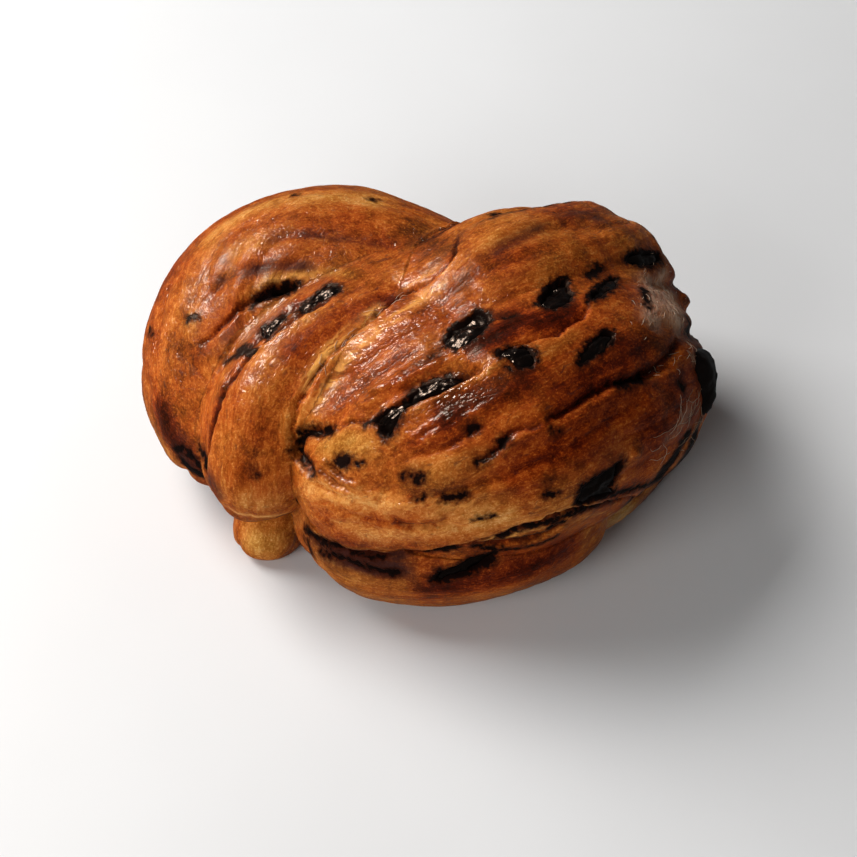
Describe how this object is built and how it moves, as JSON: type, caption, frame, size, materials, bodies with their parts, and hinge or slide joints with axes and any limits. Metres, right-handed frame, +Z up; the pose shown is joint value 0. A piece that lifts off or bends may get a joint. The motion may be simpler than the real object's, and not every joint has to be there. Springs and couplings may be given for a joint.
{
  "type": "chocolate babka bun",
  "caption": "Knotted, glazed bun of rolled chocolate dough with lengthwise folds and lumps of chocolate in its crust, baked flat underneath.",
  "frame": {"origin": "on the flat underside, below the middle of the knot", "axes": "+X along the bun's longest side to the right of its front, +Y to its back, +Z up from the underside"},
  "size_m": [0.1262, 0.1001, 0.0624],
  "materials": {
    "bread": "glossy egg-washed crust, orange-brown, darker in the folds",
    "chocolate": "dark baked chocolate, glossy where it melted"
  },
  "bodies": {
    "root": {"bread": "bread", "chocolate_01": "chocolate", "chocolate_02": "chocolate", "chocolate_03": "chocolate", "chocolate_04": "chocolate", "chocolate_05": "chocolate", "chocolate_06": "chocolate", "chocolate_07": "chocolate", "chocolate_08": "chocolate", "chocolate_09": "chocolate", "chocolate_10": "chocolate", "chocolate_11": "chocolate", "chocolate_12": "chocolate", "chocolate_13": "chocolate", "chocolate_14": "chocolate", "chocolate_15": "chocolate", "chocolate_16": "chocolate", "chocolate_17": "chocolate", "chocolate_18": "chocolate", "chocolate_19": "chocolate"}
  },
  "joints": []
}
